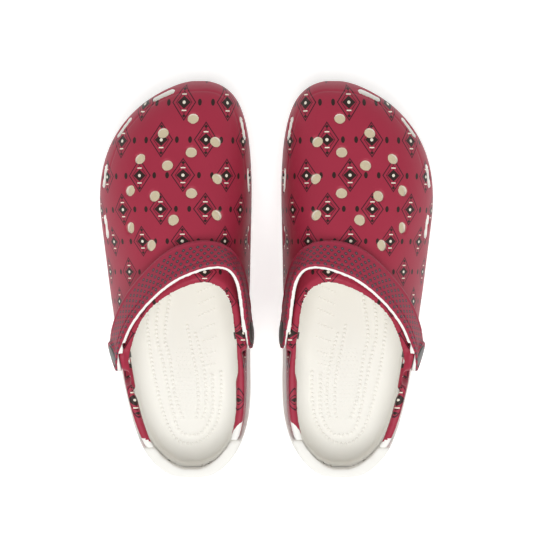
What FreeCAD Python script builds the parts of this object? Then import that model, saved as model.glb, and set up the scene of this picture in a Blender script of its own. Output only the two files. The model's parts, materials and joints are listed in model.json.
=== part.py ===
"""Pair of moulded foam garden clogs with swinging heel straps, as a FreeCAD document.

The left clog is modelled where it stands and the right clog is its mirror image. +Y points to the
toes, +Z is up, the ground is Z = 0 and the mirror plane between the clogs is X = 0. Millimetres.
Each clog is a white sole unit with a treaded outsole under it, a cupped footbed inside it and a
vented upper bonded on top. The heel strap turns on two rivets through the sides of the upper.
"""
import FreeCAD, Part

import math
import os
from FreeCAD import Placement, Rotation, Vector

doc = FreeCAD.newDocument("garden_clogs")

# ------------------------------------------------------------------ driving dimensions
SIZES = (
    ("clog_length", 288.0, "heel to toe"),
    ("ball_width", 111.0, "widest, across the ball of the foot"),
    ("pair_gap", 21.8, "clear space between the two soles"),
    ("throat_height", 98.0, "top of the vamp at the opening"),
    ("rim_height", 61.0, "collar beside the heel"),
    ("throat_reach", 42.0, "front of the opening, ahead of the strap axis"),
    ("upper_wall", 4.6, "foam thickness of the upper"),
    ("sole_ledge", 2.4, "how far the sole stands out past the upper at the heel"),
    ("outsole_thickness", 5.0, "tread layer"),
    ("groove_depth", 2.4, "tread grooves"),
    ("groove_width", 3.0, "tread grooves"),
    ("groove_pitch", 11.0, "tread grooves"),
    ("heel_floor", 21.0, "height of the sole unit's floor under the heel"),
    ("ball_floor", 13.5, "height of the sole unit's floor under the ball"),
    ("footbed_thickness", 4.0, "footbed over the floor"),
    ("footbed_wall", 2.2, "footbed's turned-up sides"),
    ("footbed_rim", 50.0, "top of the footbed's turned-up sides"),
    ("vent_diameter", 7.8, "round holes in the vamp"),
    ("slot_length", 16.5, "drain slots round the toe"),
    ("slot_height", 6.4, "drain slots round the toe"),
    ("axis_height", 62.0, "strap axis over the ground"),
    ("axis_back", 46.75, "middle of the strap axis behind the middle of the clog"),
    ("axis_inset", 49.0, "middle of the strap axis from the medial edge"),
    ("axis_skew", 9.84, "degrees the strap axis is turned, medial end forward"),
    ("axis_span", 100.0, "between the outer faces of the two strap lobes"),
    ("strap_width", 21.0, "band"),
    ("strap_thickness", 4.6, "band and lobes"),
    ("lobe_radius", 11.0, "round ends of the strap"),
    ("lobe_tilt_lateral", 17.0, "degrees the outer face of the lateral lobe looks up"),
    ("lobe_tilt_medial", 12.0, "degrees the outer face of the medial lobe looks up"),
    ("strap_rise", 34.0, "degrees the strap lies above level when it is forward"),
    ("boss_wall", 4.0, "thickness of the upper at the rivets"),
    ("relief_radius", 22.0, "hollow behind the boss for the strap's arm"),
    ("relief_span", 40.7, "from the middle of the axis to the bottom of that hollow"),
    ("side_clearance", 0.35, "between strap and boss, and rivet back and boss"),
    ("cap_radius", 8.0, "rivet head"),
    ("cap_recess", 1.2, "depth the rivet head is let into the lobe"),
    ("cap_dome", 1.0, "rivet head's crown"),
    ("post_radius", 3.0, "rivet post"),
    ("post_clearance", 0.08, "radial, in the strap, the upper and the rivet back"),
    ("back_radius", 6.8, "rivet back flange"),
    ("back_thickness", 1.8, "rivet back flange"),
)
sheet = doc.addObject("Spreadsheet::Sheet", "sizes")
for row, (alias, number, note) in enumerate(SIZES, start=1):
    sheet.set("A%d" % row, note)
    sheet.set("B%d" % row, str(number))
    sheet.setAlias("B%d" % row, alias)
doc.recompute()


def size(alias):
    return float(sheet.get(alias))


length = size("clog_length")
half = length / 2
width = size("ball_width")
medial_edge = -size("pair_gap") / 2
throat = size("throat_height")
rim = size("rim_height")
wall = size("upper_wall")

# Foot shape seen from above, as shares of the width from the medial edge and of half the length.
FOOT_SHAPE = (
    (-0.414, -1.0), (-0.20, -0.955), (-0.054, -0.80), (-0.010, -0.57), (-0.012, -0.28),
    (-0.007, 0.10), (0.0, 0.46), (-0.032, 0.76), (-0.135, 0.94), (-0.306, 1.0),
    (-0.54, 0.962), (-0.79, 0.83), (-0.955, 0.63), (-1.0, 0.43), (-0.96, 0.10),
    (-0.90, -0.28), (-0.825, -0.59), (-0.685, -0.865),
)
# Heights along the clog: (share of half the length, height). Crown heights are shares of the throat's.
# The ground line runs a little under Z = 0 where the tread is flat, and the tread is cut off level there.
GROUND = ((-1, 16), (-.985, 9), (-.945, 4.5), (-.87, 1), (-.76, -1.5), (.28, -1.5), (.49, 0), (.66, 4),
          (.8, 9.5), (.9, 14.5), (.97, 19), (1, 23))
WIDEST = ((-1, 20), (-.9, 17), (-.5, 15), (.3, 16), (.7, 19), (.9, 24), (1, 27))
CROWN = ((-1, .22), (-.993, .40), (-.98, .66), (-.95, .86), (-.89, 1.0), (-.76, 1.08), (-.4, 1.12),
         (-.07, 1.06), (0, 1.0), (.14, .95), (.28, .885), (.42, .815), (.56, .745), (.70, .67), (.82, .60),
         (.90, .53), (.955, .45), (.985, .37), (1, .28))
# How far across the clog the crown line runs, as a share from the lateral (0) to the medial (1) edge.
RIDGE = ((-1, .5), (-.6, .52), (-.2, .64), (.05, .69), (.3, .62), (.6, .58), (1, .62))
# How square the shoulders are, as the power of a superellipse: upright walls behind the strap axis, a
# falling shoulder under the strap.
LATERAL_POWER = ((-1, 2.8), (-.5, 3.0), (-.36, 2.6), (-.24, 2.05), (-.12, 1.82), (.12, 1.76), (.3, 1.88),
                 (.5, 2.15), (.8, 2.4), (1, 2.4))
MEDIAL_POWER = ((-1, 2.8), (-.5, 3.1), (-.34, 2.8), (-.18, 2.4), (-.04, 2.2), (.12, 2.1), (.3, 2.25),
                (.5, 2.4), (.8, 2.5), (1, 2.5))
STATIONS = (-.996, -.985, -.955, -.90, -.80, -.64, -.44, -.24, -.04, .16, .34, .52, .68, .80, .89, .95,
            .983, .996)
SECTION_POINTS = 36


def along(table, share):
    """Smooth height at a share of half the length: Catmull-Rom through the table."""
    share = max(table[0][0], min(table[-1][0], share))
    i = 0
    while i < len(table) - 2 and share > table[i + 1][0]:
        i += 1
    (x0, y0), (x1, y1) = table[i], table[i + 1]
    before = table[i - 1] if i else (2 * x0 - x1, 2 * y0 - y1)
    after = table[i + 2] if i + 2 < len(table) else (2 * x1 - x0, 2 * y1 - y0)
    span = x1 - x0
    slope0 = (y1 - before[1]) / (x1 - before[0])
    slope1 = (after[1] - y0) / (after[0] - x0)
    t = (share - x0) / span
    return (y0 * (2 * t ** 3 - 3 * t ** 2 + 1) + y1 * (3 * t ** 2 - 2 * t ** 3)
            + span * (slope0 * (t ** 3 - 2 * t ** 2 + t) + slope1 * (t ** 3 - t ** 2)))


def foot_outline():
    """The closed plan curve, sampled as points."""
    curve = Part.BSplineCurve()
    points = [Vector(medial_edge + fx * width, fy * half, 0) for fx, fy in FOOT_SHAPE]
    curve.interpolate(Points=points, PeriodicFlag=True)
    return curve.discretize(1200)


OUTLINE = foot_outline()


def even_points(dense, count):
    """Pick count points at even steps round a closed run of dense points, from its first point."""
    walked = [0.0]
    for a, b in zip(dense, dense[1:]):
        walked.append(walked[-1] + (b - a).Length)
    picked = []
    k = 0
    for i in range(count):
        goal = walked[-1] * i / count
        while walked[k + 1] < goal:
            k += 1
        t = (goal - walked[k]) / (walked[k + 1] - walked[k])
        picked.append(dense[k] + (dense[k + 1] - dense[k]) * t)
    return picked


def edges_at(share, outline=None):
    """Lateral and medial X of a plan curve at a share of half the length."""
    y = share * half
    outline = outline or OUTLINE
    crossings = []
    for a, b in zip(outline, outline[1:] + outline[:1]):
        if (a.y - y) * (b.y - y) <= 0 and a.y != b.y:
            crossings.append(a.x + (b.x - a.x) * (y - a.y) / (b.y - a.y))
    return min(crossings), max(crossings)


def drawn_in(inset):
    """The plan curve moved inward, square to itself, by inset(share)."""
    middle = Vector(medial_edge - width / 2, 0, 0)
    moved = []
    for before, point, after in zip(OUTLINE[-1:] + OUTLINE[:-1], OUTLINE, OUTLINE[1:] + OUTLINE[:1]):
        run = after - before
        normal = Vector(-run.y, run.x, 0).normalize()
        if normal.dot(middle - point) < 0:
            normal = normal * -1
        moved.append(point + normal * inset(point.y / half))
    return moved


# ------------------------------------------------------------------ lofted foot-shaped bodies
class FootForm:
    """A foot-shaped closed body: sections across the clog, with its own inset, floor and crown."""

    def __init__(self, name, inset, floor, crown_drop, lower_power):
        self.name = name
        self.outline = drawn_in(inset)
        self.heel = min(p.y for p in self.outline)
        self.toe = max(p.y for p in self.outline)
        self.floor = floor              # function of the share
        self.crown_drop = crown_drop
        self.lower_power = lower_power

    def position(self, share):
        """Y of a station, from this form's own heel (-1) to its own toe (1)."""
        return self.heel + (share / STATIONS[-1] + 1) / 2 * (self.toe - self.heel)

    def numbers(self, y, true_share):
        inner = self.heel + (y - self.heel) * .996 + .002 * (self.toe - self.heel)
        lateral, medial = edges_at(inner / half, self.outline)
        low = self.floor(true_share)
        crown = max(along(CROWN, true_share) * throat - self.crown_drop, low + 6)
        widest = min(max(along(WIDEST, true_share), low + 3), crown - 3)
        return lateral, medial, low, widest, crown, lateral + (medial - lateral) * along(RIDGE, true_share)

    def section(self, share):
        y = self.position(share)
        lateral, medial, low, widest, crown, ridge = self.numbers(y, y / half)
        dense = []
        for i in range(721):
            angle = math.pi * i / 360 - math.pi / 2
            c, s = math.cos(angle), math.sin(angle)
            power = self.lower_power if s < 0 else along(MEDIAL_POWER if c > 0 else LATERAL_POWER, y / half)
            reach = (medial if c > 0 else lateral) - ridge
            rise = (crown if s > 0 else low) - widest
            dense.append(Vector(ridge + reach * abs(c) ** (2 / power), y,
                                widest + rise * abs(s) ** (2 / power)))
        points = even_points(dense, SECTION_POINTS)
        curve = Part.BSplineCurve()
        steps = [i / SECTION_POINTS for i in range(SECTION_POINTS + 1)]
        curve.interpolate(Points=points, PeriodicFlag=True, Parameters=steps)
        return Part.Wire(curve.toShape())

    def build(self):
        sections = []
        for number, share in enumerate(STATIONS, start=1):
            section = doc.addObject("Part::Feature", "%s_section_%02d" % (self.name, number))
            section.Shape = self.section(share)
            sections.append(section)
        loft = doc.addObject("Part::Loft", self.name)
        loft.Sections = sections
        loft.Solid = True
        loft.Ruled = False
        return loft

    def height(self, x, y):
        """Top surface over a point inside the outline."""
        lateral, medial, low, widest, crown, ridge = self.numbers(y, y / half)
        side = (medial if x > ridge else lateral) - ridge
        reach = min(1.0, abs((x - ridge) / side))
        power = along(MEDIAL_POWER if x > ridge else LATERAL_POWER, y / half)
        return widest + (crown - widest) * (1 - reach ** power) ** (1 / power)


def ground(share):
    return along(GROUND, share)


def ledge(share):
    """The upper is drawn in from the sole behind the ball, and the sole tucks under it in front."""
    t = min(1.0, max(0.0, (share + 0.05) / -0.35))
    return size("sole_ledge") * t * t * (3 - 2 * t)


def tuck(share):
    return 0.8 * min(1.0, max(0.0, (share + 0.30) / 0.30))


def floor_of_sole(share):
    t = min(1.0, max(0.0, (share + 0.55) / 0.85))
    blend = t * t * (3 - 2 * t)
    level = size("heel_floor") + (size("ball_floor") - size("heel_floor")) * blend
    toe_spring = max(0.0, share - 0.45) * 16.0
    heel_cup = 60.0 * max(0.0, -share - 0.86) ** 1.5
    return level + toe_spring + heel_cup


def heel_extra(share):
    """The cavity stands a little further in at the heel and the toe, where the foam is thicker."""
    return 2.0 * max(0.0, abs(share) - 0.8) / 0.2


lining = size("footbed_wall")
sole_form = FootForm("sole_form", tuck, ground, 0, 5.0)
upper_form = FootForm("upper_form", ledge, ground, 0, 5.0)
foot_room = FootForm("foot_room", lambda s: ledge(s) + wall + heel_extra(s), floor_of_sole, wall, 4.0)
footbed_room = FootForm("footbed_room", lambda s: ledge(s) + wall + heel_extra(s) + lining,
                        lambda s: floor_of_sole(s) + size("footbed_thickness"), wall + lining, 3.0)


# ------------------------------------------------------------------ strap axis frame
axis_middle = Vector(medial_edge - size("axis_inset"), -size("axis_back"), size("axis_height"))
skew = math.radians(size("axis_skew"))
axis_direction = Vector(math.cos(skew), math.sin(skew), 0)
axis_forward = Vector(-math.sin(skew), math.cos(skew), 0)
AXIS_FRAME = Placement(axis_middle, Rotation(Vector(0, 0, 1), size("axis_skew")))
STRAP_FRAME = Placement(axis_middle, Rotation(Vector(0, 0, 1), size("axis_skew"))
                        .multiply(Rotation(Vector(1, 0, 0), size("strap_rise"))))
lobe_face = size("axis_span") / 2
lobe_back = lobe_face - size("strap_thickness")
boss_face = lobe_back - size("side_clearance")
boss_back = boss_face - size("boss_wall")


# ------------------------------------------------------------------ document helpers
def feature(name, shape, placement=None):
    made = doc.addObject("Part::Feature", name)
    made.Shape = shape
    if placement is not None:
        made.Placement = placement
    return made


def cut(name, base, tool):
    made = doc.addObject("Part::Cut", name)
    made.Base, made.Tool = base, tool
    made.Refine = False
    return made


def common(name, base, tool):
    made = doc.addObject("Part::Common", name)
    made.Base, made.Tool = base, tool
    made.Refine = False
    return made


def fuse(name, *shapes):
    made = doc.addObject("Part::MultiFuse", name)
    made.Shapes = list(shapes)
    made.Refine = False
    return made


def side_prism(name, profile, closing, direction, origin):
    """A solid running right across the clog: a spline through profile, closed by straight lines
    through the closing points. Profile points are (distance forward of origin, height)."""
    forward = Vector(-direction.y, direction.x, 0)
    far = 200.0

    def place(point):
        return origin + forward * point[0] + Vector(0, 0, point[1]) - direction * far
    curve = Part.BSplineCurve()
    curve.interpolate(Points=[place(p) for p in profile])
    corners = [place(profile[-1])] + [place(p) for p in closing] + [place(profile[0])]
    lines = [Part.LineSegment(a, b).toShape() for a, b in zip(corners, corners[1:])]
    face = Part.Face(Part.Wire([curve.toShape()] + lines))
    return feature(name, face.extrude(direction * 2 * far))


# ------------------------------------------------------------------ trimming surfaces
reach = size("throat_reach")
rim_profile = ((-115, rim + 3), (-95, rim + 2), (-70, rim), (-40, rim + 1.2), (-20, rim + 5),
               (0, rim + 10.5),
               (reach * .36, rim + 16.5), (reach * .64, rim + 23), (reach * .83, rim + 29.5),
               (reach, throat - 1), (reach + 5, throat + 16))
above_rim = side_prism("above_rim", rim_profile, ((reach + 5, throat + 60), (-115, throat + 60)),
                       axis_direction, Vector(axis_middle.x, axis_middle.y, 0))

seam_direction = Vector(math.cos(math.radians(5)), math.sin(math.radians(5)), 0)
seam_middle = Vector(medial_edge - width / 2, 0, 0)
seam_profile = ((half * 1.06, 26), (half * .9, 22), (half * .7, 17), (half * .42, 15), (0, 17),
                (-half * .42, 20), (-half * .59, 23), (-half * .70, 31), (-half * .775, 44),
                (-half * .825, rim), (-half * .86, throat))
below_seam = side_prism("below_seam", seam_profile,
                        ((-half * 1.3, throat), (-half * 1.3, -30), (half * 1.06, -30)),
                        seam_direction, seam_middle)

tread_profile = [(share * half, max(height, 0) + size("outsole_thickness"))
                 for share, height in GROUND[2:-1]]
tread_profile = [(-half * 1.06, 22)] + tread_profile + [(half * 1.06, 31)]
below_tread_line = side_prism("below_tread_line", tread_profile, ((half * 1.06, -30), (-half * 1.06, -30)),
                              Vector(1, 0, 0), Vector(0, 0, 0))

footbed_line = ((-half * 1.06, size("footbed_rim") + 2), (-half * .7, size("footbed_rim")),
                (-half * .3, size("footbed_rim") - 2), (0, size("footbed_rim") - 14),
                (half * .3, size("ball_floor") + 8), (half * .6, size("ball_floor") + 8.5),
                (half * .8, size("ball_floor") + 11), (half * 1.06, size("ball_floor") + 14))
below_footbed_line = side_prism("below_footbed_line", footbed_line,
                                ((half * 1.06, -30), (-half * 1.06, -30)), Vector(1, 0, 0), Vector(0, 0, 0))

sole_block = sole_form.build()
upper_block = upper_form.build()
foot_space = foot_room.build()
footbed_space = footbed_room.build()

# ------------------------------------------------------------------ sole unit, outsole and footbed
sole_hollow = cut("sole_hollow", sole_block, foot_space)
sole_lower = common("sole_lower", cut("sole_under_rim", sole_hollow, above_rim), below_seam)
midsole = cut("midsole", sole_lower, below_tread_line)
under_ground = doc.addObject("Part::Box", "under_ground")
under_ground.setExpression("Length", "sizes.clog_length + 200")
under_ground.setExpression("Width", "sizes.clog_length + 200")
under_ground.Height = 30
under_ground.Placement.Base = Vector(-length / 2 - 150, -length / 2 - 100, -30)
tread_blank = cut("tread_blank", common("tread_layer", sole_lower, below_tread_line), under_ground)


def tread_grooves():
    """Straight grooves across the flat of the tread, kept inside a plain border."""
    border = 9.0
    depth = size("groove_depth")
    inner = [Vector(medial_edge - width / 2 + (p.x - medial_edge + width / 2) * (1 - 2 * border / width),
                    p.y * (1 - border / half), 0) for p in OUTLINE[::40]]
    curve = Part.BSplineCurve()
    curve.interpolate(Points=inner, PeriodicFlag=True)
    zone = Part.Face(Part.Wire(curve.toShape())).extrude(Vector(0, 0, 2 * depth))
    bars = []
    y = -half * .74
    while y < half * .46:
        if not -half * .22 < y < -half * .08:
            corner = Vector(medial_edge - width, y, 0)
            bars.append(Part.makeBox(width, size("groove_width"), 2 * depth, corner))
        y += size("groove_pitch")
    grooves = zone.common(Part.makeCompound(bars))
    grooves.translate(Vector(0, 0, -depth))
    return grooves


outsole = cut("outsole", tread_blank, feature("tread_grooves", tread_grooves()))
footbed = common("footbed", cut("footbed_shell", foot_space, footbed_space), below_footbed_line)

# ------------------------------------------------------------------ upper with vents, slots and bosses
upper_hollow = cut("upper_hollow", upper_block, foot_space)
upper_shell = cut("upper_shell", cut("upper_under_rim", upper_hollow, above_rim), below_seam)

# Vent centres: (distance in from the medial edge, distance ahead of the middle of the clog).
VENTS = ((41.5, 115), (63, 104.5), (25, 98), (42.5, 90.5), (79.5, 86), (59.5, 81), (23.5, 71.5),
         (86.5, 63), (42, 61), (68.5, 59), (55, 42), (23.5, 45.5), (86.5, 36.5), (71, 24))
# Drain slots: (share of half the length, side, height of the middle).
SLOTS = ((.945, "lateral", 41), (.775, "lateral", 39), (.52, "lateral", 38), (.26, "lateral", 37),
         (.76, "medial", 39), (.495, "medial", 38), (.21, "medial", 37))


def surface_normal(form, x, y):
    step = 0.5
    slope_x = (form.height(x + step, y) - form.height(x - step, y)) / (2 * step)
    slope_y = (form.height(x, y + step) - form.height(x, y - step)) / (2 * step)
    return Vector(-slope_x, -slope_y, 1).normalize()


def vent_cutters():
    made = []
    for number, (inward, ahead) in enumerate(VENTS, start=1):
        x, y = medial_edge - inward, ahead
        normal = surface_normal(upper_form, x, y)
        depth = 5 * wall
        start = Vector(x, y, upper_form.height(x, y)) - normal * depth * 0.5
        cutter = doc.addObject("Part::Cylinder", "vent_cutter_%02d" % number)
        cutter.setExpression("Radius", "sizes.vent_diameter / 2")
        cutter.setExpression("Height", "sizes.upper_wall * 5")
        cutter.Placement = Placement(start, Rotation(Vector(0, 0, 1), normal))
        made.append(cutter)
    return made


def slot_cutters():
    """Obround cutters that run level through the side wall, square to the outline."""
    made = []
    radius = size("slot_height") / 2
    straight = size("slot_length") / 2 - radius
    for number, (share, side, height) in enumerate(SLOTS, start=1):
        step = 0.02
        pick = 0 if side == "lateral" else 1
        before = Vector(edges_at(share - step)[pick], (share - step) * half, 0)
        after = Vector(edges_at(share + step)[pick], (share + step) * half, 0)
        middle = Vector(edges_at(share)[pick], share * half, height)
        tangent = (after - before).normalize()
        through = Vector(tangent.y, -tangent.x, 0)
        up = Vector(0, 0, 1)
        depth = 4 * wall
        base = middle - through * depth / 2

        def corner(a, b):
            return base + tangent * a + up * b
        low_back, low_front = corner(-straight, -radius), corner(straight, -radius)
        high_front, high_back = corner(straight, radius), corner(-straight, radius)
        edges = [Part.LineSegment(low_back, low_front).toShape(),
                 Part.Arc(low_front, corner(straight + radius, 0), high_front).toShape(),
                 Part.LineSegment(high_front, high_back).toShape(),
                 Part.Arc(high_back, corner(-straight - radius, 0), low_back).toShape()]
        solid = Part.Face(Part.Wire(edges)).extrude(through * depth)
        made.append(feature("slot_cutter_%02d" % number, solid))
    return made


SIDES = (("lateral", -1), ("medial", 1))


def boss_cylinder(name, side, radius, inner, outer):
    """A cylinder on the strap axis. side is +1 at the medial end and -1 at the lateral end."""
    made = doc.addObject("Part::Cylinder", name)
    made.setExpression("Radius", radius)
    made.Height = outer - inner
    turn = Rotation(Vector(0, 0, 1), Vector(side, 0, 0))
    made.Placement = AXIS_FRAME.multiply(Placement(Vector(side * inner, 0, 0), turn))
    return made


upper_open = cut("upper_open", upper_shell, fuse("openings", *(vent_cutters() + slot_cutters())))
bosses = [boss_cylinder("boss_" + n, s, "sizes.lobe_radius + 0.4", boss_back, boss_face) for n, s in SIDES]
upper_bossed = fuse("upper_bossed", upper_open, *bosses)
sweep_room = [boss_cylinder("sweep_room_" + n, s, "sizes.lobe_radius + 2.5", boss_face, boss_face + 14)
              for n, s in SIDES]
back_room = [boss_cylinder("back_room_" + n, s, "sizes.back_radius + 0.7", boss_back - 12, boss_back)
             for n, s in SIDES]
POST_BORE = "sizes.post_radius + sizes.post_clearance"
post_room = [boss_cylinder("post_room_" + n, s, POST_BORE, boss_back - 1, boss_face + 1) for n, s in SIDES]


def arm_relief(name, side):
    """Shallow hollow in the collar behind a boss, where the strap's arm passes as it swings back."""
    ring = Part.makeCylinder(size("relief_radius"), 20, Vector(0, 0, size("relief_span")))
    ring = ring.cut(Part.makeCylinder(size("lobe_radius") + 0.4, 30, Vector(0, 0, size("relief_span") - 5)))
    ring.rotate(Vector(0, 0, 0), Vector(0, 1, 0), 90 * side)
    ring = ring.common(Part.makeBox(200, 100, 200, Vector(-100, -100, -100)))
    return feature(name, ring, AXIS_FRAME)


reliefs = [arm_relief("arm_relief_lateral", -1), arm_relief("arm_relief_medial", 1)]
upper = cut("upper", upper_bossed, fuse("rivet_rooms", *(sweep_room + back_room + post_room + reliefs)))

# ------------------------------------------------------------------ heel strap, in its own frame
# Outer face of the band in the strap frame: X along the axis from its middle, Y out from the axis.
# The front (lower) edge and the back (upper) edge each have their own curve; the band is ruled between.
span = size("axis_span") / 2
STRAP_FRONT = ((-1.045, -16), (-1.045, 2), (-.975, 15), (-.76, 37), (-.51, 52.5), (-.20, 66.5), (.12, 76.5),
               (.42, 78.8), (.72, 75.8), (.93, 67), (1.04, 53), (1.065, 38), (1.06, 18), (1.045, -16))
STRAP_BACK = ((-.975, -16), (-.97, 2), (-.91, 12), (-.68, 33.5), (-.45, 46.5), (-.18, 57.5), (.10, 65.5),
              (.38, 69.5), (.66, 70.6), (.87, 66.5), (.98, 56), (1.0, 41), (.98, 20), (.965, -16))


def band_wire(table, level):
    """Closed band outline at one level: outer curve, inner curve one thickness inside, straight ends."""
    outer = [Vector(x * span, y, level) for x, y in table]
    inner = []
    for i, point in enumerate(outer):
        ahead = outer[min(i + 1, len(outer) - 1)] - outer[max(i - 1, 0)]
        normal = Vector(-ahead.y, ahead.x, 0).normalize()
        inner.append(point - normal * size("strap_thickness"))
    curves = []
    for points in (outer, inner[::-1]):
        curve = Part.BSplineCurve()
        curve.interpolate(Points=points)
        curves.append(curve.toShape())
    ends = [Part.LineSegment(outer[-1], inner[-1]).toShape(), Part.LineSegment(inner[0], outer[0]).toShape()]
    return Part.Wire([curves[0], ends[0], curves[1], ends[1]])


half_band = size("strap_width") / 2
band = doc.addObject("Part::Loft", "band")
band.Sections = [feature("band_front", band_wire(STRAP_FRONT, -half_band)),
                 feature("band_back", band_wire(STRAP_BACK, half_band))]
band.Solid = True
band.Ruled = True


def side_view_window():
    """What the strap keeps in side view: a straight band with a round end about the axis."""
    r = half_band
    far = 120.0
    x0 = -span * 1.5
    edges = [Part.LineSegment(Vector(x0, 0, -r), Vector(x0, far, -r)).toShape(),
             Part.LineSegment(Vector(x0, far, -r), Vector(x0, far, r)).toShape(),
             Part.LineSegment(Vector(x0, far, r), Vector(x0, 0, r)).toShape(),
             Part.Arc(Vector(x0, 0, r), Vector(x0, -r, 0), Vector(x0, 0, -r)).toShape()]
    return Part.Face(Part.Wire(edges)).extrude(Vector(3 * span, 0, 0))


band_trimmed = common("band_trimmed", band, feature("band_window", side_view_window()))


def strap_cylinder(name, side, radius, inner, outer):
    made = doc.addObject("Part::Cylinder", name)
    made.setExpression("Radius", radius)
    made.Height = outer - inner
    made.Placement = Placement(Vector(side * inner, 0, 0), Rotation(Vector(0, 0, 1), Vector(side, 0, 0)))
    return made


def lobe_normal(side):
    """The way a lobe's outer face looks."""
    tilt = math.radians(size("lobe_tilt_medial" if side > 0 else "lobe_tilt_lateral"))
    return Vector(side * math.cos(tilt), 0, math.sin(tilt))


def tilted_slab(name, side, depth, radius):
    """A disc whose inner face is the lobe's tilted outer face, let in by depth."""
    made = doc.addObject("Part::Cylinder", name)
    made.setExpression("Radius", radius)
    made.Height = 20
    normal = lobe_normal(side)
    start = Vector(side * lobe_face, 0, 0) - normal * depth
    made.Placement = Placement(start, Rotation(Vector(0, 0, 1), normal))
    return made


collar_face = size("relief_span") + size("side_clearance")
lobes, strap_rooms = [], []
for name, side in SIDES:
    blank = strap_cylinder("lobe_blank_" + name, side, "sizes.lobe_radius", lobe_back, lobe_face + 6)
    lobes.append(cut("lobe_" + name, blank, tilted_slab("lobe_face_" + name, side, 0, "40")))
    strap_rooms += [
        strap_cylinder("boss_clear_" + name, side, "sizes.lobe_radius + 2.5", lobe_back - 14, lobe_back),
        strap_cylinder("collar_clear_" + name, side, "sizes.relief_radius - 2", lobe_back - 24, collar_face),
        strap_cylinder("strap_bore_" + name, side, POST_BORE, lobe_back - 1, lobe_face + 10),
        tilted_slab("cap_seat_" + name, side, size("cap_recess"), "sizes.cap_radius + 0.25"),
    ]
strap_blank = fuse("strap_blank", band_trimmed, *lobes)
strap = cut("heel_strap", strap_blank, fuse("strap_rooms", *strap_rooms))
strap.Placement = STRAP_FRAME


# ------------------------------------------------------------------ rivets
def cap_shape(side):
    """Snap rivet: a post along the axis with a retaining bead, and a head tilted to the lobe's face."""
    normal = lobe_normal(side)
    radius = size("cap_radius")
    recess = size("cap_recess")
    dome = size("cap_dome")
    sphere_radius = (radius ** 2 + dome ** 2) / (2 * dome)
    profile = [Part.LineSegment(Vector(0, 0, 0), Vector(radius, 0, 0)).toShape(),
               Part.LineSegment(Vector(radius, 0, 0), Vector(radius, 0, recess)).toShape(),
               Part.Arc(Vector(radius, 0, recess),
                        Vector(radius / 2, 0, recess + dome - sphere_radius
                               + math.sqrt(sphere_radius ** 2 - radius ** 2 / 4)),
                        Vector(0, 0, recess + dome)).toShape(),
               Part.LineSegment(Vector(0, 0, recess + dome), Vector(0, 0, 0)).toShape()]
    head = Part.Face(Part.Wire(profile)).revolve(Vector(0, 0, 0), Vector(0, 0, 1), 360)
    head = Part.Solid(head.Shells[0]) if head.ShapeType != "Solid" else head
    head.Placement = Placement(Vector(side * lobe_face, 0, 0) - normal * (recess - 0.05),
                               Rotation(Vector(0, 0, 1), normal))
    post_end = boss_back - size("side_clearance") - size("back_thickness") - 1.6
    outward = Vector(side, 0, 0)
    start = outward * post_end
    post_radius = size("post_radius")
    post = Part.makeCylinder(post_radius, lobe_face - 0.6 - post_end, start, outward)
    bead = Part.makeCone(post_radius - 0.6, post_radius + 0.5, 1.4, start, outward)
    return head.fuse([post, bead]).removeSplitter()


def back_shape(side):
    """Ring that snaps over the post inside the clog."""
    outward = Vector(side, 0, 0)
    outer = boss_back - size("side_clearance")
    inner = outer - size("back_thickness")
    ring = Part.makeCylinder(size("back_radius"), size("back_thickness"), outward * inner, outward)
    bore_radius = size("post_radius") + 0.03
    bore = Part.makeCylinder(bore_radius, size("back_thickness") + 2, outward * (inner - 1), outward)
    return ring.cut(bore)


caps = {n: feature("rivet_cap_" + n, cap_shape(s), STRAP_FRAME) for n, s in SIDES}
backs = {n: feature("rivet_back_" + n, back_shape(s), AXIS_FRAME) for n, s in SIDES}

# ------------------------------------------------------------------ names, and the mirrored right clog
LEFT = {
    "outsole": outsole, "midsole": midsole, "footbed": footbed, "upper": upper, "heel_strap": strap,
    "rivet_cap_lateral": caps["lateral"], "rivet_cap_medial": caps["medial"],
    "rivet_back_lateral": backs["lateral"], "rivet_back_medial": backs["medial"],
}
nodes = {}
for name, part in LEFT.items():
    part.Label = "left_" + name
    nodes["left_" + name] = part
    twin = doc.addObject("Part::Mirroring", "right_" + name)
    twin.Source = part
    twin.Normal = Vector(1, 0, 0)
    twin.Label = "right_" + name
    nodes["right_" + name] = twin
doc.recompute()

for item in doc.Objects:
    if "Invalid" in item.State or "Error" in item.State:
        raise RuntimeError("%s failed: %s" % (item.Label, item.State))
for name, part in nodes.items():
    if part.Shape.isNull() or not part.Shape.isValid() or not part.Shape.Solids:
        raise RuntimeError("%s has no valid solid" % name)

os.makedirs("parts", exist_ok=True)
for name, part in sorted(nodes.items()):
    part.Shape.exportStep(os.path.join("parts", name + ".step"))
    box = part.Shape.BoundBox
    print("%-26s solids %d  volume %9.0f  x %7.1f %7.1f  y %7.1f %7.1f  z %6.1f %6.1f" % (
        name, len(part.Shape.Solids), part.Shape.Volume, box.XMin, box.XMax, box.YMin, box.YMax,
        box.ZMin, box.ZMax))
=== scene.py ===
"""Garden clogs: a pair of moulded foam clogs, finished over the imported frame.

The pieces of the left clog are moulded first and the right clog takes their mirror images. Lengths in
the code are metres, and the pattern sizes that a maker would quote are millimetres.
"""
import json
import math

import bmesh
import bpy
import numpy as np
from bpy.props import FloatProperty, IntProperty, PointerProperty, StringProperty
from mathutils import Matrix, Vector
from mathutils.kdtree import KDTree


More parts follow.
